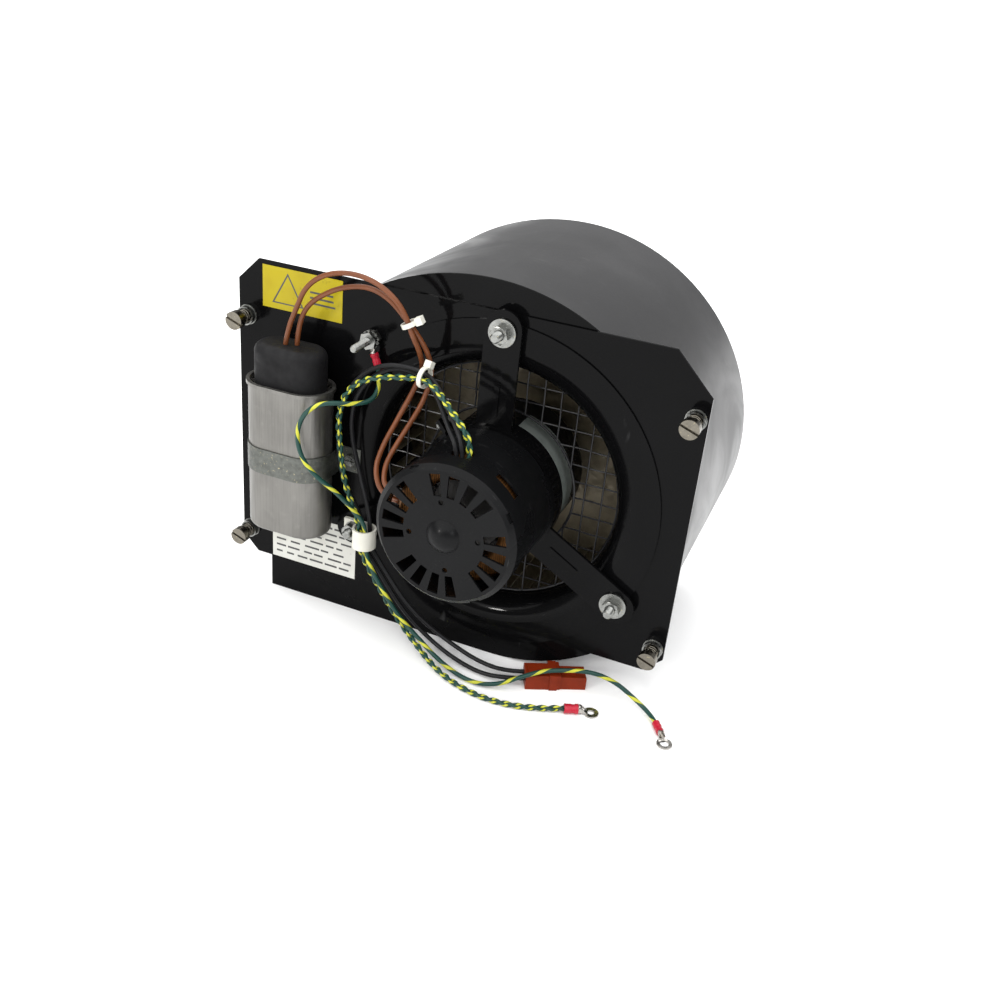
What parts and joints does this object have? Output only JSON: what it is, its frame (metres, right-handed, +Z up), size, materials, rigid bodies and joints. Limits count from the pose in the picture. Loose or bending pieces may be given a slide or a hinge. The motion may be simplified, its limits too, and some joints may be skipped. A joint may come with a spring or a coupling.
{
  "type": "direct-drive centrifugal blower",
  "caption": "Direct-drive centrifugal blower: scroll housing on a mounting plate, caged wheel, motor on arms in the front inlet, run capacitor and leads.",
  "frame": {"origin": "centre of the four captive fixing screws, on the mounting plate's rear face", "axes": "+X to the right seen from the motor side, +Y from the motor into the scroll along the wheel's axis, +Z up, against the outlet"},
  "size_m": [0.3139, 0.2362, 0.2435],
  "materials": {
    "black_paint": "gloss black enamel on sheet steel",
    "drum_paint": "semi-gloss black enamel with light scuffs",
    "motor_paint": "satin dark grey enamel",
    "zinc": "bright zinc plate",
    "galvanised": "galvanised sheet, slightly dulled",
    "guard_wire": "dull plated wire",
    "steel": "machined steel",
    "lamination": "stacked electrical steel",
    "copper": "varnished copper end turns",
    "sintered": "oil-filled sintered bronze",
    "can_aluminium": "dull drawn aluminium, mottled",
    "dielectric": "film winding in oil, closed in the can",
    "rubber": "matte black rubber",
    "nylon": "natural white nylon",
    "brown_pvc": "brown PVC insulation",
    "black_pvc": "black PVC insulation",
    "earth_pvc": "green PVC insulation with a yellow stripe",
    "red_vinyl": "red vinyl sleeve over a tinned terminal",
    "connector_red": "red-orange moulded nylon",
    "label_yellow": "printed film label",
    "label_white": "printed film label"
  },
  "bodies": {
    "housing": {"mounting_plate": "black_paint", "scroll_front_side": "black_paint", "scroll_back_side": "drum_paint", "scroll_wrap": "drum_paint", "inlet_rings": "black_paint", "inlet_guard": "guard_wire", "motor_band": "black_paint", "band_clamp_screw": "zinc", "bracket_arms": "black_paint", "arm_grommets": "rubber", "arm_studs": "zinc", "arm_washers": "zinc", "arm_nuts": "zinc", "cable_clip": "nylon", "motor_shell": "motor_paint", "front_endbell": "motor_paint", "rear_endbell": "motor_paint", "bearing_cap": "motor_paint", "stator_core": "lamination", "stator_windings": "copper", "motor_bearings": "sintered", "screw_ferrules": "zinc", "capacitor_can": "can_aluminium", "capacitor_core": "dielectric", "capacitor_lid": "zinc", "capacitor_boot": "rubber", "capacitor_strap": "zinc", "strap_screws": "zinc", "warning_label": "label_yellow", "rating_label": "label_white", "ground_stud": "zinc", "ground_hardware": "zinc", "ground_terminal": "red_vinyl", "brown_lead_left": "brown_pvc", "brown_lead_right": "brown_pvc", "supply_lead_a": "black_pvc", "supply_lead_b": "black_pvc", "earth_pair": "earth_pvc", "earth_lead": "earth_pvc", "brown_lead_tie": "nylon", "harness_tie": "nylon", "connector_socket": "connector_red", "connector_plug": "connector_red", "earth_terminal": "red_vinyl", "pair_terminal": "red_vinyl"},
    "rotor": {"motor_shaft": "steel", "rotor_core": "lamination", "wheel_hub": "steel", "hub_set_screw": "steel", "wheel_disc": "galvanised", "wheel_blades": "galvanised", "wheel_end_rings": "galvanised"},
    "spring_upper_left": {"captive_spring_upper_left": "zinc"},
    "screw_upper_left": {"captive_screw_upper_left": "zinc"},
    "spring_upper_right": {"captive_spring_upper_right": "zinc"},
    "screw_upper_right": {"captive_screw_upper_right": "zinc"},
    "spring_lower_left": {"captive_spring_lower_left": "zinc"},
    "screw_lower_left": {"captive_screw_lower_left": "zinc"},
    "spring_lower_right": {"captive_spring_lower_right": "zinc"},
    "screw_lower_right": {"captive_screw_lower_right": "zinc"}
  },
  "joints": [
    {"name": "wheel_spin", "type": "hinge", "parent": "housing", "child": "rotor", "pos_m": [0.0275, 0.08, 0.001], "axis": [0, 1, 0], "continuous": true},
    {"name": "press_upper_left", "type": "slide", "parent": "housing", "child": "spring_upper_left", "axis": [0, 1, 0], "range_m": [0, 0.0062], "stiffness_N_per_m": 400, "springref_m": -0.003, "deforming": ["captive_spring_upper_left"]},
    {"name": "turn_upper_left", "type": "hinge", "parent": "spring_upper_left", "child": "screw_upper_left", "pos_m": [-0.1405, -0.012, 0.0745], "axis": [0, 1, 0], "continuous": true},
    {"name": "press_upper_right", "type": "slide", "parent": "housing", "child": "spring_upper_right", "axis": [0, 1, 0], "range_m": [0, 0.0062], "stiffness_N_per_m": 400, "springref_m": -0.003, "deforming": ["captive_spring_upper_right"]},
    {"name": "turn_upper_right", "type": "hinge", "parent": "spring_upper_right", "child": "screw_upper_right", "pos_m": [0.1405, -0.012, 0.0745], "axis": [0, 1, 0], "continuous": true},
    {"name": "press_lower_left", "type": "slide", "parent": "housing", "child": "spring_lower_left", "axis": [0, 1, 0], "range_m": [0, 0.0062], "stiffness_N_per_m": 400, "springref_m": -0.003, "deforming": ["captive_spring_lower_left"]},
    {"name": "turn_lower_left", "type": "hinge", "parent": "spring_lower_left", "child": "screw_lower_left", "pos_m": [-0.1405, -0.012, -0.0745], "axis": [0, 1, 0], "continuous": true},
    {"name": "press_lower_right", "type": "slide", "parent": "housing", "child": "spring_lower_right", "axis": [0, 1, 0], "range_m": [0, 0.0062], "stiffness_N_per_m": 400, "springref_m": -0.003, "deforming": ["captive_spring_lower_right"]},
    {"name": "turn_lower_right", "type": "hinge", "parent": "spring_lower_right", "child": "screw_lower_right", "pos_m": [0.1405, -0.012, -0.0745], "axis": [0, 1, 0], "continuous": true}
  ]
}
